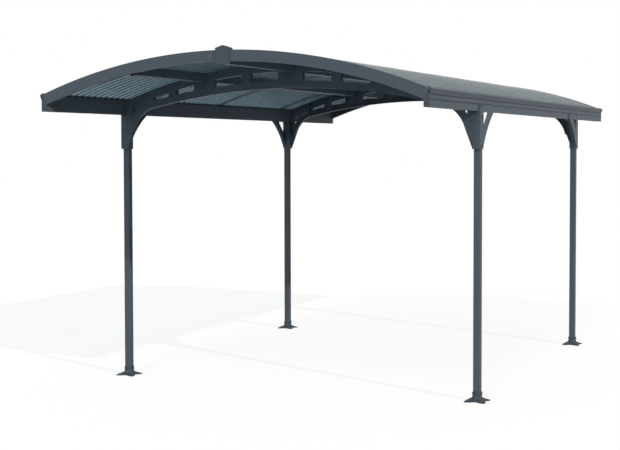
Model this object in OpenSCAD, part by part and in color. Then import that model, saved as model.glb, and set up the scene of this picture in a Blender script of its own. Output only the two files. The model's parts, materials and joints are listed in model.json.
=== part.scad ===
// Arched carport: four posts on four-toed feet, two slotted arches with knees, eave beams,
// purlins, gable arches and corrugated roof sheets.
// Millimetres. Origin at the bottom centre on the ground, +X right, +Y rear, +Z up.

/* [Roof] */
// Length between the two gable faces
roof_length = 5000; // [4000:10:6200]
// Width across the outer faces of the two eave beams
roof_width = 2900; // [2400:10:3500]
// Height of the roof surface at the ridge
crown_h = 2432; // [2000:1:3000]
// Drop of the roof surface from ridge to eave
eave_drop = 278; // [200:1:360]
// Corrugation waves over the whole length
wave_count = 65; // [49:4:81]
// Depth of the corrugation
wave_depth = 16.8; // [12:0.2:24]
// Thickness of the roof sheet
sheet_t = 1.2; // [0.8:0.1:2]

/* [Posts] */
// Width of the square post
post_w = 50; // [40:1:80]
// Wall of the post tube
post_wall = 2; // [1.2:0.1:4]
// Corner radius of the post tube
post_r = 5; // [2:0.5:10]
// Distance of the post centre in from the roof edge
post_inset = 20; // [15:1:40]
// Half the distance between the front and rear posts
post_y = 1430; // [1000:5:1900]

/* [Feet] */
// Width over the toe tips of a foot
foot_w = 150; // [130:1:200]
// Width of a toe
toe_w = 52; // [40:1:60]
// Length of a toe along the diagonal
toe_l = 86; // [70:1:110]
// Height of a toe beside the skirt
toe_h = 21; // [15:1:30]
// Reach of the skirt beyond the socket
skirt_w = 24; // [15:1:30]
// Height of the socket around the post
foot_h = 68; // [50:1:100]
// Thickness of the base under the post
foot_base = 3; // [2:0.5:8]
// Wall of the socket
foot_wall = 4; // [3:0.5:8]
// Spacing of the anchor holes in one foot
anchor_spacing = 112; // [100:1:130]
// Diameter of an anchor hole
anchor_d = 9; // [6:0.5:12]

/* [Arches] */
// Depth of an arch from front to back
arch_t = 40; // [30:1:60]
// Front plate and flange thickness of an arch
arch_plate = 3; // [2:0.5:6]
// Distance of the arch face in front of the post face
arch_proud = 20; // [12:1:30]
// Height of the arch at its middle
arch_mid_h = 189; // [150:1:240]
// Height of the arch at the knee seam
arch_knee_h = 139; // [110:1:170]
// Knee seam in from the inner face of the post
knee_seam = 205; // [180:1:260]
// Drop of the knee below the eave beam
knee_drop = 263; // [220:1:320]
// Distance of the middle of the knee's curve in from the post
knee_bend_in = 108; // [95:1:125]
// Drop of the middle of the curve below the eave beam
knee_bend_down = 24; // [10:1:40]
// Distance of the lower end of the curve in from the post
knee_low_in = 59; // [45:1:75]
// Drop of the lower end of the curve below the eave beam
knee_low_down = 114; // [95:1:140]
// Width of the slots' border along both edges
slot_border_top = 66; // [55:1:80]
// Width of the border under the slots
slot_border_low = 55; // [45:1:65]
// Wall of the socket around the top of the post
knee_wall = 5; // [4:0.5:10]
// Width of the splice plate behind the middle of the arch
splice_w = 120; // [80:1:160]
// Height of the splice plate
splice_h = 84; // [60:1:100]
// Height of the splice plate above the arch's lower flange
splice_up = 14; // [5:1:25]
// Height of the knee's three-cornered hole above the beam's underside
knee_hole_up = 63; // [40:1:75]
// Width of the knee's three-cornered hole
knee_hole_w = 50; // [30:1:60]
// Distance of that hole in from the post
knee_hole_in = 42; // [30:1:55]
// Drop of the hole's lower tip below the beam's underside
knee_hole_down = 17; // [0:1:25]
// Height of the narrow slot beside that hole
knee_slot_h = 9; // [5:1:14]
// Length of that slot
knee_slot_l = 80; // [60:1:100]
// Slant of that slot, in degrees
knee_slot_rise = 23; // [15:1:30]
// Overlap of the slot and the hole
knee_slot_lap = 5; // [3:1:8]

/* [Eaves] */
// Height of the eave beam from its underside to the roof surface
beam_h = 117; // [100:1:150]
// Width of the eave beam
beam_w = 40; // [35:1:60]
// Wall of the eave beam
beam_wall = 2.5; // [2:0.5:5]
// Depth of the grooves along the outer face of the eave beam
groove_t = 6; // [4:0.5:8]
// Height of the lower groove above the beam's underside
groove_low = 40; // [30:1:50]
// Width of the lower groove
groove_w = 13; // [8:1:20]
// Height of the upper groove above the beam's underside
groove_high = 75; // [65:1:90]
// Depth of the groove along the inner face of the eave beam
inner_groove_t = 2; // [1:0.5:4]
// Width of the inner groove
inner_groove_w = 4; // [2:1:8]
// Overhang of the cover rail's nose beyond the eave beam
rail_proud = 15; // [10:1:20]
// Height of the cover rail
rail_h = 47; // [35:1:60]
// Height of the rail's nose above its underside
rail_nose = 33; // [20:1:40]
// Distance of the rail's top edge in from the beam's outer face
rail_top_in = 3; // [0:1:10]
// Height of the cover rail above the roof surface at the eave
rail_up = 12; // [5:1:20]
// Front plate of an eave end cap
cap_t = 6; // [4:0.5:10]
// Length of the cap's plug inside the beam
plug_l = 30; // [20:1:50]
// Diameter of the round opening in an eave end cap
cap_hole_d = 17; // [8:0.5:18]
// Distance of that opening in from the beam's outer face
cap_hole_in = 5; // [4:1:20]
// Height of that opening above the cover rail's underside
cap_hole_up = 14; // [12:1:30]

/* [Beams under the roof] */
// Width of the ridge beam
ridge_w = 60; // [40:1:100]
// Height of the ridge beam
ridge_h = 72; // [50:1:100]
// Width of a purlin
purlin_w = 40; // [30:1:60]
// Height of a purlin
purlin_h = 66; // [50:1:90]
// Distance of a purlin from the ridge
purlin_x = 730; // [500:5:900]
// Wall of the ridge beam and the purlins
tube_wall = 2; // [1.5:0.1:4]

/* [Gables] */
// Depth of the gable arch from its upper to its lower edge
gable_h = 76; // [60:1:100]
// Face plate of the gable arch
gable_t = 3; // [2:0.5:5]
// Depth of the flanges behind the gable face
gable_flange = 30; // [20:1:45]
// Wall of the gable's flanges
flange_wall = 2.5; // [2:0.5:5]
// Width of the ridge cap
ridge_cap_w = 107; // [90:1:130]
// Height of the ridge cap above the roof surface
ridge_cap_up = 30; // [20:1:40]
// Rise of the ridge cap's peak above its shoulders
ridge_cap_peak = 17; // [10:1:25]
// Thickness of the ridge cap in front of the gable
ridge_cap_t = 12; // [8:1:20]
// Depth of the notch in each side of the ridge cap
cap_notch_w = 5; // [3:0.5:10]
// Height of that notch
cap_notch_h = 18; // [10:1:30]

/* [Eave braces] */
// Thickness of an eave brace
brace_t = 30; // [20:1:45]
// Reach of an eave brace along the beam from the post centre
brace_reach = 279; // [220:1:340]
// Drop of an eave brace below the beam
brace_drop = 248; // [200:1:300]
// Height of the brace's tab on the eave beam
brace_tab_h = 46; // [38:1:52]
// Size of the brace's three-cornered hole along its two straight edges
brace_hole_w = 102; // [80:1:115]
// Flange around the brace, beside the beam, the post and the curve
brace_edge = 4; // [3:1:10]
// Outer plate of the brace
brace_plate = 4; // [3:0.5:8]

/* [Hidden] */
$fa = 4;
$fs = 1;
arc_fn = 720;
fit = 0.2;
seat = 0.3;
lip_t = 2;
half_w = roof_width / 2;
half_l = roof_length / 2;
roof_r = (half_w * half_w + eave_drop * eave_drop) / (2 * eave_drop);
roof_cz = crown_h - roof_r;
crest_r = roof_r - lip_t - seat;
trough_r = crest_r - sheet_t - wave_depth;
under_r = trough_r - seat;
eave_z = crown_h - eave_drop;
beam_z = eave_z - beam_h;
post_x = half_w - post_inset;
post_in = post_x - post_w / 2;
post_h = beam_z - foot_base;
arch_y = post_y + post_w / 2 + arch_proud;
seam_x = post_in - knee_seam;
brace_out = post_x + post_w / 2 + fit + knee_wall;
gable_r = roof_r - gable_h;
rail_z = eave_z + rail_up - rail_h;
beam_in = half_w - beam_w;
gable_end = asin((beam_in - fit) / gable_r);
rail_in = roof_r * sin(gable_end) + seat;
rail_out = half_w + rail_proud;
rail_top_x = half_w - rail_top_in;
sheet_l = roof_length - 2 * (gable_t + seat);
wave = sheet_l / wave_count;
sheet_count = 4;
sheet_waves = (wave_count - 1) / sheet_count;
wave_steps = 8;
wave_turn = 360 / wave_steps;
wave_amp = wave_depth / 2 / cos(wave_turn / 2);
beam_l = roof_length - 2 * cap_t;
purlin_l = roof_length - 2 * (gable_t + gable_flange);
purlin_tilt = asin(purlin_x / under_r);
chord_z = roof_cz + under_r - arch_mid_h;
seam_z = roof_z(seam_x, under_r) - arch_knee_h;
chord_drop = chord_z - seam_z;
chord_r = (seam_x * seam_x + chord_drop * chord_drop) / (2 * chord_drop);
chord_cz = chord_z - chord_r;
brace_bend_y = 0.589;
brace_bend_z = 0.339;
slot_spans = [[0.083, 0.275], [0.338, 0.529], [0.675, 0.804], [0.861, 0.971]];
frame_color = [0.24, 0.27, 0.30];
plastic_color = [0.20, 0.22, 0.25];
sheet_color = [0.55, 0.60, 0.60, 0.6];

// ---- helpers ----

// Height on an arc of radius r about the roof's axis.
function roof_z(x, r) = roof_cz + sqrt(r * r - x * x);

// Point at angle a from the ridge, on radius r, as [x, z].
function arc_pt(r, a) = [r * sin(a), roof_cz + r * cos(a)];

// Centre of the circle through three points.
function centre3(a, b, c) = let(
  d = 2 * (a[0] * (b[1] - c[1]) + b[0] * (c[1] - a[1]) + c[0] * (a[1] - b[1])),
  aa = a * a,
  bb = b * b,
  cc = c * c
) [
  (aa * (b[1] - c[1]) + bb * (c[1] - a[1]) + cc * (a[1] - b[1])) / d,
  (aa * (c[0] - b[0]) + bb * (a[0] - c[0]) + cc * (b[0] - a[0])) / d
];

// Places the front right piece at any of the four corners.
module corner(left, rear) {
  mirror([left ? 1 : 0, 0, 0])
    mirror([0, rear ? 1 : 0, 0])
      children();
}

// Extrudes an [x, z] outline along Y from y0 to y1.
module along_y(y0, y1) {
  translate([0, y1, 0])
    rotate([90, 0, 0])
      linear_extrude(height = y1 - y0)
        children();
}

// Extrudes a [y, z] outline along X from x0 to x1.
module along_x(x0, x1) {
  translate([x0, 0, 0])
    rotate([90, 0, 90])
      linear_extrude(height = x1 - x0)
        children();
}

// Sweeps a [radius, -y] section about the roof's axis, from angle a0 to a1 right of the ridge.
module about_roof(a0, a1) {
  translate([0, 0, roof_cz])
    rotate([90, 0, 0])
      rotate([0, 0, 90 - a1])
        rotate_extrude(angle = a1 - a0, $fn = arc_fn)
          children();
}

// Square with round corners.
module round_square(w, r) {
  square([w, w - 2 * r], center = true);
  square([w - 2 * r, w], center = true);
  for (sx = [-1, 1], sy = [-1, 1])
    translate([sx * (w / 2 - r), sy * (w / 2 - r)])
      circle(r = r);
}

// ---- posts and feet ----

module post() {
  translate([post_x, -post_y, foot_base])
    linear_extrude(height = post_h)
      difference() {
        round_square(post_w, post_r);
        round_square(post_w - 2 * post_wall, post_r - post_wall);
      }
}

// Leaf-shaped outline from the origin along +X.
module leaf(l, w) {
  r = (l * l / 4 + w * w / 4) / w;
  intersection_for(side = [-1, 1])
    translate([l / 2, side * (r - w / 2)])
      circle(r = r);
}

// Turned solid with a hollow side through three [radius, height] points, low to high.
module hollow_turned(low, mid, high) {
  c = centre3(low, mid, high);
  rotate_extrude()
    difference() {
      square([low[0], high[1]]);
      translate(c)
        circle(r = norm(c - low));
    }
}

module foot() {
  socket_w = post_w + 2 * (fit + foot_wall);
  tip_r = foot_w / sqrt(2);
  root_r = socket_w / 2 + skirt_w;
  translate([post_x, -post_y, 0])
    difference() {
      union() {
        linear_extrude(height = foot_h)
          round_square(socket_w, post_r + fit + foot_wall);
        hollow_turned([root_r, foot_base], [socket_w / 2 + skirt_w / 2, toe_h], [socket_w / 2, foot_h]);
        intersection() {
          linear_extrude(height = foot_h)
            for (a = [45 : 90 : 315])
              rotate([0, 0, a])
                translate([tip_r - toe_l, 0])
                  leaf(toe_l, toe_w);
          hollow_turned([tip_r + 1, foot_base], [(tip_r + root_r) / 2, toe_h / 2],
            [root_r - skirt_w / 2, 1.2 * toe_h]);
        }
      }
      translate([0, 0, foot_base])
        linear_extrude(height = foot_h)
          round_square(post_w + 2 * fit, post_r + fit);
      for (sx = [-1, 1], sy = [-1, 1])
        translate([sx * anchor_spacing / 2, sy * anchor_spacing / 2, -1])
          cylinder(d = anchor_d, h = foot_h);
    }
}

// ---- arches ----

// Arch outline between x0 and x1, inset by edge from the roof side and low from the other.
module arch_band(x0, x1, edge, low) {
  intersection() {
    difference() {
      translate([0, roof_cz])
        circle(r = under_r - edge, $fn = arc_fn);
      translate([0, chord_cz])
        circle(r = chord_r + low, $fn = arc_fn);
    }
    translate([x0, beam_z - knee_drop])
      square([x1 - x0, crown_h]);
  }
}

// Slots, each grown by grow.
module arch_slots(grow) {
  for (s = slot_spans)
    arch_band(s[0] * seam_x - grow, s[1] * seam_x + grow,
      slot_border_top - grow, slot_border_low - grow);
}

// Ridge beam and purlin outlines, grown by grow.
module beam_outlines(grow) {
  translate([-ridge_w / 2 - grow, roof_cz + under_r - ridge_h - grow])
    square([ridge_w + 2 * grow, 1.2 * ridge_h]);
  translate([0, roof_cz])
    rotate([0, 0, -purlin_tilt])
      translate([-purlin_w / 2 - grow, under_r - purlin_h - grow])
        square([purlin_w + 2 * grow, 1.2 * purlin_h]);
}

module arch() {
  difference() {
    along_y(-arch_y, -arch_y + arch_t)
      difference() {
        arch_band(0, seam_x, 0, 0);
        arch_slots(0);
        beam_outlines(fit);
      }
    along_y(-arch_y + arch_plate, -arch_y + arch_t + 1)
      difference() {
        arch_band(-1, seam_x - arch_plate, arch_plate, arch_plate);
        arch_slots(arch_plate);
        beam_outlines(fit + arch_plate);
      }
  }
}

module arch_splice() {
  z0 = chord_z + arch_plate + splice_up;
  along_y(-arch_y + arch_plate, -arch_y + 2 * arch_plate)
    translate([-splice_w / 2, z0])
      square([splice_w, splice_h]);
}

// Outline of the right-hand eave beam as [x, z].
module beam_outline() {
  lip_x = beam_in + 2 * beam_wall;
  lip_z = roof_z(lip_x, under_r);
  groove_x = half_w - groove_t;
  g1 = beam_z + groove_low;
  g2 = beam_z + groove_high;
  g3 = g1 + (groove_w + inner_groove_w) / 2;
  polygon([
    [beam_in, beam_z],
    [half_w, beam_z],
    [half_w, g1],
    [groove_x, g1],
    [groove_x, g1 + groove_w],
    [half_w, g1 + groove_w],
    [half_w, g2],
    [groove_x, g2],
    [groove_x, rail_z],
    [lip_x, rail_z],
    [lip_x, lip_z],
    [beam_in, lip_z],
    [beam_in, g3],
    [beam_in + inner_groove_t, g3],
    [beam_in + inner_groove_t, g3 - inner_groove_w],
    [beam_in, g3 - inner_groove_w]
  ]);
}

// Inside of the eave beam, made smaller by gap.
module beam_hollow(gap) {
  x0 = beam_in + inner_groove_t + beam_wall + gap;
  x1 = half_w - groove_t - beam_wall - gap;
  z0 = beam_z + beam_wall + gap;
  translate([x0, z0])
    square([x1 - x0, rail_z - beam_wall - gap - z0]);
}

// Knee outline: from the seam out to the post and down along it. Inset at its free edges.
module knee_outline(inset) {
  top = [seam_x, seam_z];
  bend = [post_in - knee_bend_in, beam_z - knee_bend_down];
  low = [post_in - knee_low_in, beam_z - knee_low_down];
  c = centre3(top, bend, low);
  r = norm(c - top);
  hole_x = post_in - knee_hole_in;
  hole_z = beam_z + knee_hole_up;
  difference() {
    union() {
      arch_band(seam_x + inset, beam_in + 1, inset, inset);
      difference() {
        polygon([
          [seam_x + inset, seam_z + 2 * inset],
          [post_x, seam_z + 2 * inset],
          [post_x, beam_z - knee_drop],
          [post_in - knee_wall / 2, beam_z - knee_drop],
          low,
          [seam_x + inset, low[1]]
        ]);
        translate(c)
          circle(r = r + inset, $fn = arc_fn);
      }
    }
    translate([beam_in, beam_z])
      square([beam_w, crown_h]);
    polygon([
      [hole_x - knee_hole_w, hole_z],
      [hole_x, hole_z],
      [hole_x, beam_z - knee_hole_down]
    ]);
    translate([hole_x - knee_hole_w - knee_slot_lap, hole_z + 2])
      rotate([0, 0, 180 - knee_slot_rise])
        square([knee_slot_l, knee_slot_h]);
  }
}

module knee() {
  socket_w = post_w + 2 * (fit + knee_wall);
  difference() {
    union() {
      difference() {
        along_y(-arch_y, -arch_y + arch_t)
          knee_outline(0);
        along_y(-arch_y + arch_plate, -arch_y + arch_t + 1)
          intersection() {
            knee_outline(arch_plate);
            translate([seam_x, beam_z - knee_drop])
              square([post_x - socket_w / 2 - seam_x, crown_h]);
          }
      }
      translate([post_x - socket_w / 2, -arch_y, beam_z - knee_drop])
        cube([socket_w, arch_y - post_y + socket_w / 2, knee_drop]);
    }
    translate([post_x, -post_y, beam_z - knee_drop - 1])
      linear_extrude(height = knee_drop + 2)
        round_square(post_w + 2 * fit, post_r + fit);
  }
}

// ---- eaves ----

module eave_beam_right() {
  along_y(-beam_l / 2, beam_l / 2)
    difference() {
      beam_outline();
      beam_hollow(0);
    }
}

// Cover rail outline: a slanting outer face up to the nose, and back to the top. Inset by wall.
module rail_outline(wall) {
  polygon([
    [rail_in + wall, rail_z + wall],
    [half_w - 0.6 * wall, rail_z + wall],
    [rail_out - 1.2 * wall, rail_z + rail_nose],
    [rail_top_x - 0.6 * wall, rail_z + rail_h - wall],
    [rail_in + wall, rail_z + rail_h - wall]
  ]);
}

module cover_rail_right() {
  along_y(-beam_l / 2, beam_l / 2)
    difference() {
      rail_outline(0);
      rail_outline(beam_wall);
    }
}

module eave_cap() {
  low_in = arc_pt(gable_r, gable_end);
  high_in = arc_pt(roof_r, gable_end);
  difference() {
    along_y(-half_l, -half_l + cap_t)
      polygon([
        [beam_in, beam_z],
        [half_w, beam_z],
        [half_w, rail_z],
        [rail_out, rail_z + rail_nose],
        [rail_top_x, rail_z + rail_h],
        [rail_in, rail_z + rail_h],
        high_in,
        low_in
      ]);
    translate([half_w - cap_hole_in, -half_l - 1, rail_z + cap_hole_up])
      rotate([-90, 0, 0])
        cylinder(d = cap_hole_d, h = cap_t + 2);
  }
  along_y(-half_l + cap_t - 1, -half_l + cap_t + plug_l)
    beam_hollow(fit);
}

module eave_brace() {
  back = -post_y + post_w / 2 + fit + knee_wall;
  tip = -post_y + brace_reach;
  top = [tip, beam_z];
  bend = [-post_y + brace_bend_y * brace_reach, beam_z - brace_bend_z * brace_drop];
  low = [back, beam_z - brace_drop];
  c = centre3(top, bend, low);
  r = norm(c - top);
  difference() {
    along_x(brace_out - brace_t, brace_out)
      difference() {
        polygon([[back, beam_z], top, [tip, beam_z - brace_drop], low]);
        translate(c)
          circle(r = r, $fn = arc_fn);
        polygon([
          [back + brace_edge, beam_z - brace_edge],
          [back + brace_hole_w, beam_z - brace_edge],
          [back + brace_edge, beam_z - brace_hole_w]
        ]);
      }
    along_x(brace_out - brace_t - 1, brace_out - brace_plate)
      difference() {
        translate([back + brace_edge, beam_z - brace_drop])
          square([brace_reach, brace_drop - brace_edge]);
        translate(c)
          circle(r = r + brace_edge, $fn = arc_fn);
      }
  }
  along_x(half_w, brace_out)
    polygon([
      [-arch_y, beam_z],
      top,
      [tip - brace_tab_h / 3, beam_z + brace_tab_h],
      [-arch_y, beam_z + brace_tab_h]
    ]);
}

// ---- beams under the roof ----

module box_tube(w, h) {
  difference() {
    translate([-w / 2, 0])
      square([w, h]);
    translate([-w / 2 + tube_wall, tube_wall])
      square([w - 2 * tube_wall, h - 2 * tube_wall]);
  }
}

module ridge_tube() {
  along_y(-purlin_l / 2, purlin_l / 2)
    translate([0, roof_cz + under_r - ridge_h])
      box_tube(ridge_w, ridge_h);
}

module purlin() {
  along_y(-purlin_l / 2, purlin_l / 2)
    translate([0, roof_cz])
      rotate([0, 0, -purlin_tilt])
        translate([0, under_r - purlin_h])
          box_tube(purlin_w, purlin_h);
}

// ---- gables ----

module gable() {
  behind = gable_t + gable_flange;
  legs = [[gable_r, flange_wall], [under_r - flange_wall, flange_wall], [roof_r - lip_t, lip_t]];
  difference() {
    about_roof(0, gable_end) {
      translate([gable_r, half_l - gable_t])
        square([gable_h, gable_t]);
      for (leg = legs)
        translate([leg[0], half_l - behind])
          square([leg[1], behind]);
    }
    translate([beam_in - fit, -half_l + cap_t - fit, beam_z])
      cube([beam_w, behind, crown_h]);
  }
}

// Ridge cap outline as [x, z], from z upwards.
module ridge_cap_outline(z) {
  shoulder = crown_h + ridge_cap_up - ridge_cap_peak;
  polygon([
    [-ridge_cap_w / 2, z],
    [ridge_cap_w / 2, z],
    [ridge_cap_w / 2, shoulder],
    [0, crown_h + ridge_cap_up],
    [-ridge_cap_w / 2, shoulder]
  ]);
}

module ridge_cap() {
  hook = gable_t + gable_flange;
  along_y(-half_l - ridge_cap_t, -half_l)
    difference() {
      ridge_cap_outline(roof_cz + under_r - ridge_h);
      for (side = [-1, 1])
        translate([side * ridge_cap_w / 2, crown_h - 1.5 * cap_notch_h])
          square([2 * cap_notch_w, cap_notch_h], center = true);
    }
  difference() {
    along_y(-half_l - 1, -half_l + hook)
      ridge_cap_outline(crown_h - ridge_cap_peak);
    translate([0, -half_l, roof_cz])
      rotate([-90, 0, 0])
        cylinder(r = roof_r + fit, h = hook + 1, $fn = arc_fn);
  }
}

// ---- roof sheets ----

// Radius of the sheet's underside at step i of a wave.
function wave_r(i) = trough_r + wave_depth / 2 - wave_amp * cos(wave_turn * (i + 0.5));

// Sheet k from the front. Its last wave laps over the next sheet.
module roof_sheet(k) {
  steps = sheet_waves * wave_steps;
  step = wave / wave_steps;
  lap = k < sheet_count - 1 ? sheet_t + seat : 0;
  y0 = -sheet_l / 2 + k * sheet_waves * wave;
  lap_y = y0 + sheet_waves * wave;
  low = concat(
    [[y0, trough_r]],
    [for (i = [0 : steps - 1]) [y0 + (i + 0.5) * step, wave_r(i)]],
    [[lap_y - 1, trough_r + lap]],
    [for (i = [0 : wave_steps - 1]) [lap_y + (i + 0.5) * step, wave_r(i) + lap]],
    [[lap_y + wave, trough_r + lap]]
  );
  last = len(low) - 1;
  about_roof(-gable_end, gable_end)
    polygon(concat(
      [for (p = low) [p[1], -p[0]]],
      [for (i = [last : -1 : 0]) [low[i][1] + sheet_t, -low[i][0]]]
    ));
}

// ---- nodes ----

module front_left_post() {
  color(frame_color)
    corner(true, false)
      post();
}

module front_right_post() {
  color(frame_color)
    corner(false, false)
      post();
}

module rear_left_post() {
  color(frame_color)
    corner(true, true)
      post();
}

module rear_right_post() {
  color(frame_color)
    corner(false, true)
      post();
}

module front_left_foot() {
  color(plastic_color)
    corner(true, false)
      foot();
}

module front_right_foot() {
  color(plastic_color)
    corner(false, false)
      foot();
}

module rear_left_foot() {
  color(plastic_color)
    corner(true, true)
      foot();
}

module rear_right_foot() {
  color(plastic_color)
    corner(false, true)
      foot();
}

module front_left_arch() {
  color(frame_color)
    corner(true, false)
      arch();
}

module front_right_arch() {
  color(frame_color)
    corner(false, false)
      arch();
}

module rear_left_arch() {
  color(frame_color)
    corner(true, true)
      arch();
}

module rear_right_arch() {
  color(frame_color)
    corner(false, true)
      arch();
}

module front_left_knee() {
  color(frame_color)
    corner(true, false)
      knee();
}

module front_right_knee() {
  color(frame_color)
    corner(false, false)
      knee();
}

module rear_left_knee() {
  color(frame_color)
    corner(true, true)
      knee();
}

module rear_right_knee() {
  color(frame_color)
    corner(false, true)
      knee();
}

module front_arch_splice() {
  color(frame_color)
    arch_splice();
}

module rear_arch_splice() {
  color(frame_color)
    corner(false, true)
      arch_splice();
}

module front_left_eave_brace() {
  color(frame_color)
    corner(true, false)
      eave_brace();
}

module front_right_eave_brace() {
  color(frame_color)
    corner(false, false)
      eave_brace();
}

module rear_left_eave_brace() {
  color(frame_color)
    corner(true, true)
      eave_brace();
}

module rear_right_eave_brace() {
  color(frame_color)
    corner(false, true)
      eave_brace();
}

module left_eave_beam() {
  color(frame_color)
    corner(true, false)
      eave_beam_right();
}

module right_eave_beam() {
  color(frame_color)
    eave_beam_right();
}

module left_cover_rail() {
  color(frame_color)
    corner(true, false)
      cover_rail_right();
}

module right_cover_rail() {
  color(frame_color)
    cover_rail_right();
}

module front_left_eave_cap() {
  color(plastic_color)
    corner(true, false)
      eave_cap();
}

module front_right_eave_cap() {
  color(plastic_color)
    corner(false, false)
      eave_cap();
}

module rear_left_eave_cap() {
  color(plastic_color)
    corner(true, true)
      eave_cap();
}

module rear_right_eave_cap() {
  color(plastic_color)
    corner(false, true)
      eave_cap();
}

module ridge_beam() {
  color(frame_color)
    ridge_tube();
}

module left_purlin() {
  color(frame_color)
    corner(true, false)
      purlin();
}

module right_purlin() {
  color(frame_color)
    purlin();
}

module front_left_gable() {
  color(frame_color)
    corner(true, false)
      gable();
}

module front_right_gable() {
  color(frame_color)
    corner(false, false)
      gable();
}

module rear_left_gable() {
  color(frame_color)
    corner(true, true)
      gable();
}

module rear_right_gable() {
  color(frame_color)
    corner(false, true)
      gable();
}

module front_ridge_cap() {
  color(plastic_color)
    ridge_cap();
}

module rear_ridge_cap() {
  color(plastic_color)
    corner(false, true)
      ridge_cap();
}

module front_roof_sheet() {
  color(sheet_color)
    roof_sheet(0);
}

module front_middle_roof_sheet() {
  color(sheet_color)
    roof_sheet(1);
}

module rear_middle_roof_sheet() {
  color(sheet_color)
    roof_sheet(2);
}

module rear_roof_sheet() {
  color(sheet_color)
    roof_sheet(3);
}

front_left_post();
front_right_post();
rear_left_post();
rear_right_post();
front_left_foot();
front_right_foot();
rear_left_foot();
rear_right_foot();
front_left_arch();
front_right_arch();
rear_left_arch();
rear_right_arch();
front_left_knee();
front_right_knee();
rear_left_knee();
rear_right_knee();
front_arch_splice();
rear_arch_splice();
front_left_eave_brace();
front_right_eave_brace();
rear_left_eave_brace();
rear_right_eave_brace();
left_eave_beam();
right_eave_beam();
left_cover_rail();
right_cover_rail();
front_left_eave_cap();
front_right_eave_cap();
rear_left_eave_cap();
rear_right_eave_cap();
ridge_beam();
left_purlin();
right_purlin();
front_left_gable();
front_right_gable();
rear_left_gable();
rear_right_gable();
front_ridge_cap();
rear_ridge_cap();
front_roof_sheet();
front_middle_roof_sheet();
rear_middle_roof_sheet();
rear_roof_sheet();
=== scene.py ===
"""Arched carport: finishes for its frame, smooth roof sheets, bolts and a studio stage."""

import json
import math

import bmesh
import bpy
from mathutils import Euler, Matrix, Vector


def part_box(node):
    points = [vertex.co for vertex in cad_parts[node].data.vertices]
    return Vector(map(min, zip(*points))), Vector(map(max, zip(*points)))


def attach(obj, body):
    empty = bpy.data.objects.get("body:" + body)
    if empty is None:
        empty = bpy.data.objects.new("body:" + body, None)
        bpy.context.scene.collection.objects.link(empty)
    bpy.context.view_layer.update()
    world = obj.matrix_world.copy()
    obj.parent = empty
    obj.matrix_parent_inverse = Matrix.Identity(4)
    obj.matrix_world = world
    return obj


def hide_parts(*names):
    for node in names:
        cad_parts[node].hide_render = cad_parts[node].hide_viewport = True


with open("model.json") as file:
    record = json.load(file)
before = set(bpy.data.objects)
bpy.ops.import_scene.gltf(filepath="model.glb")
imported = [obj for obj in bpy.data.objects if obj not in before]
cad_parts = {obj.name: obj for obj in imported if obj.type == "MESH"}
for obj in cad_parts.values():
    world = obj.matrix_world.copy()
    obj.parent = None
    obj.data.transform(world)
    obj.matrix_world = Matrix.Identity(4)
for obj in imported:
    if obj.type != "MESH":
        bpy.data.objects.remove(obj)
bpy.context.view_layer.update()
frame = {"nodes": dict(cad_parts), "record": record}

bl_info = {
    "name": "Arched Carport",
    "version": (1, 0, 0),
    "blender": (4, 5, 0),
    "location": "3D View > Sidebar > Carport",
    "description": "Finishes, roof sheets, bolts and stage for an arched carport",
    "category": "Add Mesh",
}

CORNERS = [
    ("front_left", -1, -1),
    ("front_right", 1, -1),
    ("rear_left", -1, 1),
    ("rear_right", 1, 1),
]
ENDS = [("front", -1), ("rear", 1)]
SHEETS = ["front_roof_sheet", "front_middle_roof_sheet", "rear_middle_roof_sheet", "rear_roof_sheet"]

# Fineness of a roof sheet: steps a wave, and spans over the arch
STEPS = 20
SPANS = 56

# Sides of a round piece, and rounds that find the roof's radius
SIDES = 24
HALVINGS = 80

# Places of the bolts and screws, from the edges of the parts that they hold
SPLICE_BOLT_IN = 0.020
SPLICE_BOLT_UP = 0.012
KNEE_FRONT_DROPS = (0.060, 0.221)
KNEE_SIDE_DROPS = (-0.040, 0.040, 0.241)
KNEE_BOLT_IN = 0.019
KNEE_SEAM_RISES = (0.03, 0.11)
SEAM_BOLT_IN = 0.02
SOCKET_WALL = 0.0042
FOOT_SCREW_DOWN = 0.010
FIRST_SCREW_WAVE = 2
SCREW_WAVES = 4

# Bolt heads: how deep they sit, their washer, and the hexagon's layers as (share of width, share of height)
BOLT_SINK = -0.0004
WASHER_HEIGHT = 0.0014
WASHER_SHARE = 0.82
WASHER_TOP_SHARE = 0.76
HEAD_SHARE = 0.55
HEAD_LAP = 0.0002
HEAD_LAYERS = [(1.0, 0.0), (1.0, 0.82), (0.93, 0.95), (0.80, 1.0)]

# Plugs in the eave caps
PLUG_IN = 0.005
PLUG_UP = 0.014
PLUG_SUNK = 0.003
PLUG_DEPTH = 0.002

# Gloss of the finishes, and the share of the sheet's colour that its inner face has, which darkens it as
# painted shade on the roof's underside
COAT_GLOSS = 0.04
PLASTIC_GLOSS = 0.12
OUTER_GLOSS = 0.5
INNER_GLOSS = 0.08
UNDERSIDE_SHADE_SHARE = 0.33
SLANT_LEAST = 0.25

# Lights as (name, direction towards it, strength, softness in degrees, colour), and the other levels
LIGHTS = [
    ("key_sun", (0.81, -0.36, 0.46), 1.75, 1.2, (1.0, 0.99, 0.97)),
    ("front_fill", (0.05, -0.95, 0.22), 1.20, 50.0, (1.0, 1.0, 1.0)),
    ("high_fill", (0.10, -0.68, 0.75), 0.50, 10.0, (1.0, 1.0, 1.0)),
]
WORLD_LEVEL = 0.34
FLOOR_LEVEL = 1.095
FLOOR_HALF = 40.0

# Camera: place, turn about X and Z in degrees, lens and shift
EYE = (4.162, -10.133, 1.787)
EYE_TILT = 87.701
EYE_TURN = 22.243
LENS = 75.5
SENSOR = 36
SHIFT = (-0.0943, -0.0413)


# ---- sizes and colours that a user may change ----


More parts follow.
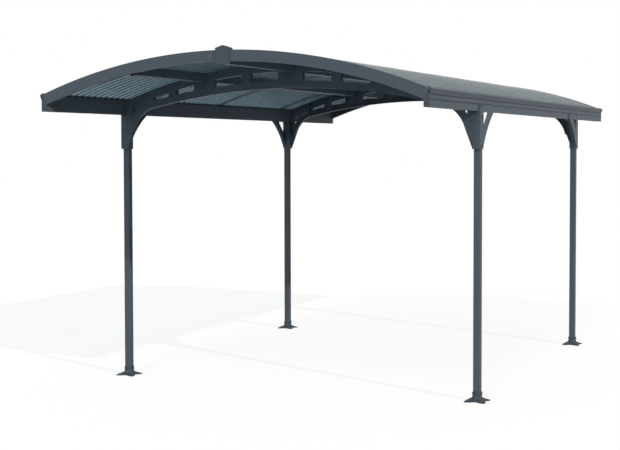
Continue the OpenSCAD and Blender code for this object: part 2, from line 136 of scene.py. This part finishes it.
class CarportSizes(bpy.types.PropertyGroup):
    """Sizes of the pieces that are added to the frame"""

    waves: bpy.props.IntProperty(
        name="Waves",
        description="Corrugation waves along the whole roof",
        default=65,
        min=20,
    )
    sheet_thickness: bpy.props.FloatProperty(
        name="Sheet thickness",
        description="Thickness of a roof sheet",
        default=0.0012,
        unit="LENGTH",
    )
    wave_depth: bpy.props.FloatProperty(
        name="Wave depth",
        description="Depth of the corrugation",
        default=0.0168,
        unit="LENGTH",
    )
    lap_lift: bpy.props.FloatProperty(
        name="Lap lift",
        description="How far a sheet is lifted where it laps over the next one",
        default=0.0015,
        unit="LENGTH",
    )
    plug_width: bpy.props.FloatProperty(
        name="Cap plug",
        description="Diameter of the plug in the round opening of an eave cap",
        default=0.0168,
        unit="LENGTH",
    )
    bolt_width: bpy.props.FloatProperty(
        name="Bolt head",
        description="Width of a hexagon bolt head across its flats",
        default=0.013,
        unit="LENGTH",
    )
    screw_width: bpy.props.FloatProperty(
        name="Roof screw",
        description="Width of a roof screw's head across its flats",
        default=0.008,
        unit="LENGTH",
    )


class CarportColours(bpy.types.PropertyGroup):
    """Colours of the finishes"""

    coat: bpy.props.FloatVectorProperty(
        name="Powder coat",
        description="Colour of the coated frame",
        subtype="COLOR",
        size=3,
        default=(0.074, 0.093, 0.113),
    )
    plastic: bpy.props.FloatVectorProperty(
        name="Plastic",
        description="Colour of the feet and end caps",
        subtype="COLOR",
        size=3,
        default=(0.060, 0.075, 0.090),
    )
    sheet: bpy.props.FloatVectorProperty(
        name="Roof sheet",
        description="Tint of the roof sheets",
        subtype="COLOR",
        size=3,
        default=(0.165, 0.200, 0.210),
    )
    sheet_tint: bpy.props.FloatVectorProperty(
        name="Sheet tint",
        description="Tint of the light that passes one face of a roof sheet",
        subtype="COLOR",
        size=3,
        default=(0.74, 0.91, 1.0),
    )
    sheet_clearness: bpy.props.FloatProperty(
        name="Sheet clearness",
        description="Share of the light that one face of a roof sheet lets straight through",
        default=0.57,
        min=0.0,
        max=1.0,
    )
    bolt: bpy.props.FloatVectorProperty(
        name="Bolts",
        description="Colour of the bolts",
        subtype="COLOR",
        size=3,
        default=(0.045, 0.052, 0.060),
    )
    floor: bpy.props.FloatVectorProperty(
        name="Floor",
        description="Colour of the studio floor",
        subtype="COLOR",
        size=3,
        default=(1.0, 1.0, 1.0),
    )
    floor_bounce: bpy.props.FloatProperty(
        name="Floor bounce",
        description="Share of the light that the floor throws back up at the object",
        default=0.36,
        min=0.0,
        max=1.0,
    )
    floor_glow: bpy.props.FloatProperty(
        name="Floor glow",
        description="Share of the floor that stays plain white",
        default=0.72,
        min=0.0,
        max=1.0,
    )


# ---- helpers for node materials ----


def new_material(name):
    """An empty node material with an output, and a function that adds nodes to it."""
    material = bpy.data.materials.new(name)
    material.use_nodes = True
    tree = material.node_tree
    tree.nodes.clear()
    output = tree.nodes.new("ShaderNodeOutputMaterial")

    def add(kind, **inputs):
        node = tree.nodes.new("ShaderNode" + kind)
        for key, value in inputs.items():
            numbered = key[0] == "i" and key[1:].isdigit()
            socket = node.inputs[int(key[1:]) if numbered else key.replace("_", " ")]
            if isinstance(value, bpy.types.NodeSocket):
                tree.links.new(value, socket)
            else:
                socket.default_value = value
        return node

    return material, tree, output, add


def shade_between(add, low, high, factor):
    """A colour ramp from low to high, driven by a factor socket."""
    ramp = add("ValToRGB", Fac=factor)
    ramp.color_ramp.elements[0].color = (*low, 1)
    ramp.color_ramp.elements[1].color = (*high, 1)
    return ramp


def scaled(colour, share):
    """The colour made lighter or darker by a share."""
    return tuple(min(1.0, c * share) for c in colour)


def coat_material(settings):
    """Powder coat: slightly mottled, with fine orange peel and a painted highlight that lightens its sharp
    edges.
    """
    material, tree, output, add = new_material("powder_coat")
    place = add("TexCoord").outputs["Object"]
    cloud = add("TexNoise", Vector=place, Scale=2.2, Detail=3.0).outputs["Fac"]
    ramp = shade_between(add, scaled(settings.coat, 0.94), scaled(settings.coat, 1.06), cloud)
    # Painted highlight: sharp edges are lightened towards a paler coat colour, standing in for light that
    # catches them.
    edge = add("NewGeometry").outputs["Pointiness"]
    edge_highlight = add("MapRange", Value=edge, From_Min=0.56, From_Max=0.68, To_Min=0.0, To_Max=0.22).outputs[0]
    colour = add("MixRGB", Fac=edge_highlight, Color1=ramp.outputs[0], Color2=(*scaled(settings.coat, 1.7), 1))
    speck = add("TexNoise", Vector=place, Scale=90.0, Detail=2.0).outputs["Fac"]
    rough = add("MapRange", Value=speck, To_Min=0.36, To_Max=0.50).outputs[0]
    peel = add("TexNoise", Vector=place, Scale=420.0, Detail=1.0).outputs["Fac"]
    bump = add("Bump", Strength=0.12, Distance=0.0004, Height=peel)
    finish = add("BsdfPrincipled", Base_Color=colour.outputs[0], Roughness=rough, Normal=bump.outputs[0])
    finish.inputs["Specular IOR Level"].default_value = COAT_GLOSS
    tree.links.new(finish.outputs[0], output.inputs["Surface"])
    return material


def plastic_material(settings):
    """Moulded plastic: fine leather-like grain and a slightly mottled tone."""
    material, tree, output, add = new_material("moulded_plastic")
    place = add("TexCoord").outputs["Object"]
    cloud = add("TexNoise", Vector=place, Scale=14.0, Detail=4.0).outputs["Fac"]
    ramp = shade_between(add, scaled(settings.plastic, 0.9), scaled(settings.plastic, 1.12), cloud)
    grain = add("TexVoronoi", Vector=place, Scale=650.0).outputs["Distance"]
    rough = add("MapRange", Value=cloud, To_Min=0.46, To_Max=0.62).outputs[0]
    bump = add("Bump", Strength=0.2, Distance=0.0004, Height=grain)
    finish = add("BsdfPrincipled", Base_Color=ramp.outputs[0], Roughness=rough, Normal=bump.outputs[0])
    finish.inputs["Specular IOR Level"].default_value = PLASTIC_GLOSS
    tree.links.new(finish.outputs[0], output.inputs["Surface"])
    return material


def sheet_material(settings, name, share, gloss):
    """Smoky translucent polycarbonate: tinted, a little clouded, with a share of the sheet's colour; a
    share below one gives the darker inner face, painted shade on the roof's underside.
    """
    material, tree, output, add = new_material(name)
    place = add("TexCoord").outputs["Object"]
    cloud = add("TexNoise", Vector=place, Scale=3.0, Detail=3.0).outputs["Fac"]
    colour = scaled(settings.sheet, share)
    ramp = shade_between(add, scaled(colour, 0.93), scaled(colour, 1.07), cloud)
    ripple = add("TexNoise", Vector=place, Scale=35.0, Detail=1.0).outputs["Fac"]
    bump = add("Bump", Strength=0.03, Distance=0.001, Height=ripple)
    rough = add("MapRange", Value=cloud, To_Min=0.14, To_Max=0.22).outputs[0]
    slant = add("LayerWeight", Blend=0.5).outputs["Facing"]
    straight = add("MapRange", Value=slant, To_Min=1.0, To_Max=SLANT_LEAST).outputs[0]
    path = add("Math", i0=1.0, i1=straight)
    path.operation = "DIVIDE"
    through = add("Math", i0=settings.sheet_clearness, i1=path.outputs[0])
    through.operation = "POWER"
    stopped = add("Math", i0=1.0, i1=through.outputs[0])
    stopped.operation = "SUBTRACT"
    finish = add("BsdfPrincipled", Base_Color=ramp.outputs[0], Roughness=rough, Normal=bump.outputs[0])
    finish.inputs["Specular IOR Level"].default_value = gloss
    clear = add("BsdfTransparent", Color=(*settings.sheet_tint, 1))
    mixed = add("MixShader", i0=stopped.outputs[0])
    tree.links.new(clear.outputs[0], mixed.inputs[1])
    tree.links.new(finish.outputs[0], mixed.inputs[2])
    tree.links.new(mixed.outputs[0], output.inputs["Surface"])
    return material


def bolt_material(settings):
    """Dark zinc flake bolts with a brushed look."""
    material, tree, output, add = new_material("dark_bolt")
    place = add("TexCoord").outputs["Object"]
    flake = add("TexNoise", Vector=place, Scale=900.0, Detail=2.0).outputs["Fac"]
    ramp = shade_between(add, scaled(settings.bolt, 0.7), scaled(settings.bolt, 1.5), flake)
    rough = add("MapRange", Value=flake, To_Min=0.28, To_Max=0.48).outputs[0]
    finish = add("BsdfPrincipled", Base_Color=ramp.outputs[0], Roughness=rough)
    finish.inputs["Metallic"].default_value = 0.6
    tree.links.new(finish.outputs[0], output.inputs["Surface"])
    return material


def rubber_material():
    """Black sealing washers and plugs."""
    material, tree, output, add = new_material("sealing_rubber")
    place = add("TexCoord").outputs["Object"]
    dust = add("TexNoise", Vector=place, Scale=300.0, Detail=2.0).outputs["Fac"]
    ramp = shade_between(add, (0.010, 0.011, 0.012), (0.022, 0.024, 0.026), dust)
    rough = add("MapRange", Value=dust, To_Min=0.6, To_Max=0.8).outputs[0]
    finish = add("BsdfPrincipled", Base_Color=ramp.outputs[0], Roughness=rough)
    tree.links.new(finish.outputs[0], output.inputs["Surface"])
    return material


def floor_material(settings):
    """Pale floor that stays white around the object and keeps its soft shadow."""
    material, tree, output, add = new_material("studio_floor")
    ray = add("LightPath")
    seen = add("Math", i0=ray.outputs["Is Camera Ray"], i1=ray.outputs["Is Glossy Ray"])
    seen.operation = "MAXIMUM"
    share = add("Math", i0=seen.outputs[0], i1=settings.floor_glow)
    share.operation = "MULTIPLY"
    bounce = (*scaled(settings.floor, settings.floor_bounce), 1)
    colour = add("MixRGB", Fac=seen.outputs[0], Color1=bounce, Color2=(*settings.floor, 1))
    paint = add("BsdfDiffuse", Color=colour.outputs[0])
    glow = add("Emission", Color=(1, 1, 1, 1), Strength=FLOOR_LEVEL)
    mixed = add("MixShader", i0=share.outputs[0])
    tree.links.new(paint.outputs[0], mixed.inputs[1])
    tree.links.new(glow.outputs[0], mixed.inputs[2])
    tree.links.new(mixed.outputs[0], output.inputs["Surface"])
    return material


def finish_named(name):
    """The finish with this name, made once."""
    made = bpy.data.materials.get(name)
    if made:
        return made
    colours = bpy.context.scene.carport_colours
    makers = {
        "powder_coat": lambda: coat_material(colours),
        "moulded_plastic": lambda: plastic_material(colours),
        "smoky_sheet": lambda: sheet_material(colours, "smoky_sheet", 1.0, OUTER_GLOSS),
        # The inside copy takes a smaller share of the sheet's colour: painted shade on the roof's
        # underside.
        "smoky_sheet_shaded_underside": lambda: sheet_material(
            colours, "smoky_sheet_shaded_underside", UNDERSIDE_SHADE_SHARE, INNER_GLOSS
        ),
        "dark_bolt": lambda: bolt_material(colours),
        "sealing_rubber": rubber_material,
        "studio_floor": lambda: floor_material(colours),
    }
    return makers[name]()


# ---- helpers for meshes ----


def add_piece(name, mesh_bm, finishes):
    """Turns a bmesh into a piece that rides on the frame."""
    bmesh.ops.recalc_face_normals(mesh_bm, faces=mesh_bm.faces)
    mesh = bpy.data.meshes.new(name)
    mesh_bm.to_mesh(mesh)
    mesh_bm.free()
    for finish in finishes:
        mesh.materials.append(finish_named(finish))
    piece = bpy.data.objects.new(name, mesh)
    bpy.context.scene.collection.objects.link(piece)
    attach(piece, "root")
    return piece


def turned(bm, outline, place, material=0):
    """Revolves an outline of (radius, height) points about the local Z axis of place."""
    rings = []
    for radius, height in outline:
        if radius < 1e-7:
            rings.append([bm.verts.new(place @ Vector((0, 0, height)))])
            continue
        ring = []
        for i in range(SIDES):
            a = 2 * math.pi * i / SIDES
            ring.append(bm.verts.new(place @ Vector((radius * math.cos(a), radius * math.sin(a), height))))
        rings.append(ring)
    for low, high in zip(rings, rings[1:]):
        for i in range(SIDES):
            j = (i + 1) % SIDES
            corners = [low[i % len(low)], low[j % len(low)], high[j % len(high)], high[i % len(high)]]
            face = bm.faces.new(list(dict.fromkeys(corners)))
            face.material_index = material
            face.smooth = True


def hexagon_head(bm, place, width, height):
    """A hexagon head with a rounded crown, standing on the local XY plane of place."""
    side = width / math.sqrt(3)
    rings = []
    for share, rise in HEAD_LAYERS:
        ring = []
        for i in range(6):
            a = math.pi * i / 3
            ring.append(bm.verts.new(place @ Vector((
                side * share * math.cos(a),
                side * share * math.sin(a),
                height * rise,
            ))))
        rings.append(ring)
    for low, high in zip(rings, rings[1:]):
        for i in range(6):
            j = (i + 1) % 6
            bm.faces.new([low[i], low[j], high[j], high[i]])
    for ring in (rings[0], rings[-1]):
        bm.faces.new(ring)


def bolt(bm, place, width):
    """A bolt head on its washer, sunk a little into the face it stands on."""
    turned(bm, [
        (0, BOLT_SINK),
        (width * WASHER_SHARE, BOLT_SINK),
        (width * WASHER_SHARE, WASHER_HEIGHT * 0.6),
        (width * WASHER_TOP_SHARE, WASHER_HEIGHT),
        (0, WASHER_HEIGHT),
    ], place)
    head = place @ Matrix.Translation((0, 0, WASHER_HEIGHT - HEAD_LAP))
    hexagon_head(bm, head, width, width * HEAD_SHARE)


def facing(point, direction):
    """A place at point whose local Z axis looks along direction."""
    return Matrix.Translation(point) @ Vector(direction).to_track_quat("Z", "Y").to_matrix().to_4x4()


# ---- the roof's circle, from the sheets' own boxes ----


def roof_circle(sizes):
    """(axis height, crest radius, half angle) of the arched sheets."""
    low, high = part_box("rear_roof_sheet")
    reach = high.x
    drop = high.z - low.z
    depth = sizes.sheet_thickness + sizes.wave_depth
    near, far = reach * 1.01, reach * 20
    for _ in range(HALVINGS):
        radius = (near + far) / 2
        level = math.sqrt(1 - (reach / radius) ** 2)
        if radius - (radius - depth) * level > drop:
            near = radius
        else:
            far = radius
    return high.z - radius, radius, math.asin(reach / radius)


def soft_step(t):
    """Smooth rise from 0 to 1."""
    t = max(0.0, min(1.0, t))
    return t * t * (3 - 2 * t)


class CARPORT_OT_frame_finishes(bpy.types.Operator):
    """Gives every part of the frame its finish"""

    bl_idname = "carport.frame_finishes"
    bl_label = "Frame finishes"

    def execute(self, context):
        by_slot = {
            "frame": "powder_coat",
            "dark_plastic": "moulded_plastic",
            "roof_sheet": "smoky_sheet",
        }
        slots = {part["node"]: part["material_slot"] for part in frame["record"]["subparts"]}
        for name, node in frame["nodes"].items():
            finish = finish_named(by_slot[slots[name]])
            node.data.materials.clear()
            node.data.materials.append(finish)
        return {"FINISHED"}


class CARPORT_OT_roof_sheets(bpy.types.Operator):
    """Makes the smooth corrugated roof sheets that stand for the stepped ones"""

    bl_idname = "carport.roof_sheets"
    bl_label = "Roof sheets"

    def execute(self, context):
        sizes = context.scene.carport_sizes
        axis_z, crest, half_angle = roof_circle(sizes)
        trough = crest - sizes.sheet_thickness - sizes.wave_depth
        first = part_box(SHEETS[0])[0].y
        pitch = (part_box(SHEETS[-1])[1].y - first) / sizes.waves
        each = (sizes.waves - 1) // len(SHEETS)
        for k, name in enumerate(SHEETS):
            laps = k < len(SHEETS) - 1
            lift = sizes.lap_lift if laps else 0.0
            start = first + k * each * pitch
            profile = []
            for i in range((each + 1) * STEPS + 1):
                turn = i / STEPS
                rise = sizes.wave_depth / 2 * (1 - math.cos(2 * math.pi * turn))
                lapped = lift * soft_step((turn - each) * STEPS / 2 + 1)
                profile.append((start + turn * pitch, trough + rise + lapped))
            sheet = self.make_sheet(name + "_skin", profile, axis_z, half_angle, sizes.sheet_thickness)
            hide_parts(name)
        return {"FINISHED"}

    def make_sheet(self, name, profile, axis_z, half_angle, thickness):
        """Sweeps the wavy profile about the roof's axis, as a closed thin shell."""
        bm = bmesh.new()
        layers = []
        for extra in (0.0, thickness):
            rows = []
            for y, radius in profile:
                row = []
                for j in range(SPANS + 1):
                    a = half_angle * (2 * j / SPANS - 1)
                    r = radius + extra
                    row.append(bm.verts.new((r * math.sin(a), y, axis_z + r * math.cos(a))))
                rows.append(row)
            layers.append(rows)
        low, high = layers
        last = len(profile) - 1
        for i in range(last):
            for j in range(SPANS):
                for rows, flip in ((low, True), (high, False)):
                    quad = [rows[i][j], rows[i + 1][j], rows[i + 1][j + 1], rows[i][j + 1]]
                    face = bm.faces.new(quad[::-1] if flip else quad)
                    face.smooth = True
                    # The inner face takes the darker inside copy of the finish: painted shade on the roof's
                    # underside.
                    face.material_index = 1 if flip else 0
            for j in (0, SPANS):
                bm.faces.new([low[i][j], low[i + 1][j], high[i + 1][j], high[i][j]])
        for i in (0, last):
            for j in range(SPANS):
                bm.faces.new([low[i][j], low[i][j + 1], high[i][j + 1], high[i][j]])
        return add_piece(name, bm, ["smoky_sheet", "smoky_sheet_shaded_underside"])


class CARPORT_OT_roof_screws(bpy.types.Operator):
    """Makes the roof screws with their rubber washers along the ridge and purlins"""

    bl_idname = "carport.roof_screws"
    bl_label = "Roof screws"

    def execute(self, context):
        sizes = context.scene.carport_sizes
        axis_z, crest, _ = roof_circle(sizes)
        trough = crest - sizes.wave_depth
        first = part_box(SHEETS[0])[0].y
        pitch = (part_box(SHEETS[-1])[1].y - first) / sizes.waves
        each = (sizes.waves - 1) // len(SHEETS)
        low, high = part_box("right_purlin")
        purlin_a = math.atan2((low.x + high.x) / 2, (low.z + high.z) / 2 - axis_z)
        for k, name in enumerate(SHEETS):
            bm = bmesh.new()
            for a in (-purlin_a, 0.0, purlin_a):
                for wave in range(FIRST_SCREW_WAVE, each, SCREW_WAVES):
                    y = first + (k * each + wave) * pitch
                    out = Vector((math.sin(a), 0, math.cos(a)))
                    place = facing(Vector((0, y, axis_z)) + out * trough, out)
                    self.roof_screw(bm, place, sizes.screw_width)
            add_piece(name.replace("_sheet", "_screws"), bm, ["dark_bolt", "sealing_rubber"])
        return {"FINISHED"}

    def roof_screw(self, bm, place, width):
        """A hexagon screw on a domed rubber washer."""
        turned(bm, [
            (0, -0.0012),
            (width, -0.0012),
            (width, 0.0002),
            (width * 0.7, 0.0014),
            (0, 0.0016),
        ], place, material=1)
        turned(bm, [
            (0, 0.0012),
            (width * 0.72, 0.0012),
            (width * 0.66, 0.0022),
            (0, 0.0024),
        ], place)
        hexagon_head(bm, place @ Matrix.Translation((0, 0, 0.0020)), width, width * 0.5)


class CARPORT_OT_arch_bolts(bpy.types.Operator):
    """Makes the bolts that join the two halves of each arch"""

    bl_idname = "carport.arch_bolts"
    bl_label = "Arch bolts"

    def execute(self, context):
        width = context.scene.carport_sizes.bolt_width
        for end, side in ENDS:
            low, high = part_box(end + "_arch_splice")
            face_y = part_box(end + "_right_arch")[0 if side < 0 else 1].y
            bm = bmesh.new()
            for x in (low.x + SPLICE_BOLT_IN, high.x - SPLICE_BOLT_IN):
                for z in (low.z + SPLICE_BOLT_UP, high.z - SPLICE_BOLT_UP):
                    bolt(bm, facing((x, face_y, z), (0, side, 0)), width)
            add_piece(end + "_splice_bolts", bm, ["dark_bolt"])
        return {"FINISHED"}


class CARPORT_OT_knee_bolts(bpy.types.Operator):
    """Makes the bolts on the front and outer faces of the four knees"""

    bl_idname = "carport.knee_bolts"
    bl_label = "Knee bolts"

    def execute(self, context):
        width = context.scene.carport_sizes.bolt_width
        for corner, sx, sy in CORNERS:
            low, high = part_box(corner + "_knee")
            post_low, post_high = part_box(corner + "_post")
            x, y = (post_low + post_high).xy / 2
            face_y = low.y if sy < 0 else high.y
            face_x = high.x if sx > 0 else low.x
            beam_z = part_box("left_eave_beam")[0].z
            bm = bmesh.new()
            for drop in KNEE_FRONT_DROPS:
                bolt(bm, facing((x - sx * KNEE_BOLT_IN, face_y, beam_z - drop), (0, sy, 0)), width)
            for drop in KNEE_SIDE_DROPS:
                bolt(bm, facing((face_x, y, beam_z - drop), (sx, 0, 0)), width)
            arch_low, arch_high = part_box(corner + "_arch")
            seam = max(abs(arch_low.x), abs(arch_high.x))
            for rise in KNEE_SEAM_RISES:
                at = (sx * (seam + SEAM_BOLT_IN), face_y, arch_low.z + rise)
                bolt(bm, facing(at, (0, sy, 0)), width)
            add_piece(corner + "_knee_bolts", bm, ["dark_bolt"])
        return {"FINISHED"}


class CARPORT_OT_cap_plugs(bpy.types.Operator):
    """Makes the black plugs in the round openings of the eave caps"""

    bl_idname = "carport.cap_plugs"
    bl_label = "Cap plugs"

    def execute(self, context):
        radius = context.scene.carport_sizes.plug_width / 2
        for corner, sx, sy in CORNERS:
            cap_low, cap_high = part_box(corner + "_eave_cap")
            beam_low, beam_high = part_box(corner.split("_")[1] + "_eave_beam")
            rail_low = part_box(corner.split("_")[1] + "_cover_rail")[0]
            edge = beam_high.x if sx > 0 else beam_low.x
            face_y = cap_low.y if sy < 0 else cap_high.y
            at = (edge - sx * PLUG_IN, face_y - sy * PLUG_SUNK, rail_low.z + PLUG_UP)
            bm = bmesh.new()
            outline = [(0, -PLUG_DEPTH), (radius, -PLUG_DEPTH), (radius, 0.0), (0, 0.0)]
            turned(bm, outline, facing(at, (0, sy, 0)))
            add_piece(corner + "_cap_plug", bm, ["sealing_rubber"])
        return {"FINISHED"}


class CARPORT_OT_foot_screws(bpy.types.Operator):
    """Makes the screws that hold each post in its foot"""

    bl_idname = "carport.foot_screws"
    bl_label = "Foot screws"

    def execute(self, context):
        width = context.scene.carport_sizes.bolt_width
        for corner, sx, sy in CORNERS:
            post_low, post_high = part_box(corner + "_post")
            foot_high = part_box(corner + "_foot")[1]
            x, y = (post_low + post_high).xy / 2
            half = (post_high.x - post_low.x) / 2 + SOCKET_WALL
            bm = bmesh.new()
            for out in (Vector((1, 0, 0)), Vector((-1, 0, 0)), Vector((0, 1, 0)), Vector((0, -1, 0))):
                at = Vector((x, y, foot_high.z - FOOT_SCREW_DOWN)) + out * half
                bolt(bm, facing(at, out), width)
            add_piece(corner + "_foot_screws", bm, ["dark_bolt"])
        return {"FINISHED"}


class CARPORT_OT_stage(bpy.types.Operator):
    """Sets up the floor, the lights, the world and the camera"""

    bl_idname = "carport.stage"
    bl_label = "Stage"

    def execute(self, context):
        self.floor()
        self.world(context.scene)
        for light in LIGHTS:
            self.sun(*light)
        self.camera(context.scene)
        context.scene.view_settings.view_transform = "Standard"
        return {"FINISHED"}

    def floor(self):
        """A wide plain floor at ground level."""
        bm = bmesh.new()
        corners = ((-1, -1), (1, -1), (1, 1), (-1, 1))
        bm.faces.new([bm.verts.new((sx * FLOOR_HALF, sy * FLOOR_HALF, 0)) for sx, sy in corners])
        mesh = bpy.data.meshes.new("floor")
        bm.to_mesh(mesh)
        bm.free()
        mesh.materials.append(finish_named("studio_floor"))
        floor = bpy.data.objects.new("floor", mesh)
        bpy.context.scene.collection.objects.link(floor)

    def world(self, scene):
        """White where it is seen or mirrored, soft grey as a light."""
        world = bpy.data.worlds.new("studio")
        scene.world = world
        world.use_nodes = True
        tree = world.node_tree
        tree.nodes.clear()
        ray = tree.nodes.new("ShaderNodeLightPath")
        mirrored = tree.nodes.new("ShaderNodeMath")
        mirrored.operation = "MAXIMUM"
        tree.links.new(ray.outputs["Is Glossy Ray"], mirrored.inputs[0])
        tree.links.new(ray.outputs["Is Transmission Ray"], mirrored.inputs[1])
        seen = tree.nodes.new("ShaderNodeMath")
        seen.operation = "MAXIMUM"
        tree.links.new(ray.outputs["Is Camera Ray"], seen.inputs[0])
        tree.links.new(mirrored.outputs[0], seen.inputs[1])
        level = tree.nodes.new("ShaderNodeMapRange")
        level.inputs["To Min"].default_value = WORLD_LEVEL
        level.inputs["To Max"].default_value = 1.0
        tree.links.new(seen.outputs[0], level.inputs["Value"])
        background = tree.nodes.new("ShaderNodeBackground")
        background.inputs["Color"].default_value = (1, 1, 1, 1)
        tree.links.new(level.outputs[0], background.inputs["Strength"])
        output = tree.nodes.new("ShaderNodeOutputWorld")
        tree.links.new(background.outputs[0], output.inputs["Surface"])

    def sun(self, name, toward, strength, softness, colour):
        """A far light from the direction toward, with its softness in degrees."""
        light = bpy.data.lights.new(name, "SUN")
        light.energy = strength
        light.angle = math.radians(softness)
        light.color = colour
        lamp = bpy.data.objects.new(name, light)
        lamp.rotation_euler = Vector(toward).to_track_quat("Z", "Y").to_euler()
        bpy.context.scene.collection.objects.link(lamp)

    def camera(self, scene):
        """A camera at eye height in front of the right-hand corner."""
        lens = bpy.data.cameras.new("camera")
        lens.lens = LENS
        lens.sensor_width = SENSOR
        lens.shift_x, lens.shift_y = SHIFT
        view = bpy.data.objects.new("camera", lens)
        view.location = EYE
        view.rotation_euler = Euler((math.radians(EYE_TILT), 0, math.radians(EYE_TURN)))
        scene.collection.objects.link(view)
        scene.camera = view


class CARPORT_PT_panel(bpy.types.Panel):
    """Lists the carport's sizes, colours and steps"""

    bl_idname = "CARPORT_PT_panel"
    bl_label = "Carport"
    bl_space_type = "VIEW_3D"
    bl_region_type = "UI"
    bl_category = "Carport"

    def draw(self, context):
        layout = self.layout
        for settings in (context.scene.carport_sizes, context.scene.carport_colours):
            for key in settings.__annotations__:
                layout.prop(settings, key)
        for step in STEPS_IN_ORDER:
            layout.operator(step.bl_idname)


STEPS_IN_ORDER = [
    CARPORT_OT_frame_finishes,
    CARPORT_OT_roof_sheets,
    CARPORT_OT_roof_screws,
    CARPORT_OT_arch_bolts,
    CARPORT_OT_knee_bolts,
    CARPORT_OT_cap_plugs,
    CARPORT_OT_foot_screws,
    CARPORT_OT_stage,
]
CLASSES = [CarportSizes, CarportColours, *STEPS_IN_ORDER, CARPORT_PT_panel]


def register():
    """Makes the settings, steps and panel known."""
    for item in CLASSES:
        bpy.utils.register_class(item)
    bpy.types.Scene.carport_sizes = bpy.props.PointerProperty(type=CarportSizes)
    bpy.types.Scene.carport_colours = bpy.props.PointerProperty(type=CarportColours)


def unregister():
    """Takes them away again."""
    del bpy.types.Scene.carport_colours
    del bpy.types.Scene.carport_sizes
    for item in reversed(CLASSES):
        bpy.utils.unregister_class(item)


def main():
    """Runs every step in order."""
    register()
    bpy.ops.carport.frame_finishes()
    bpy.ops.carport.roof_sheets()
    bpy.ops.carport.roof_screws()
    bpy.ops.carport.arch_bolts()
    bpy.ops.carport.knee_bolts()
    bpy.ops.carport.cap_plugs()
    bpy.ops.carport.foot_screws()
    bpy.ops.carport.stage()


if __name__ == "__main__":
    main()
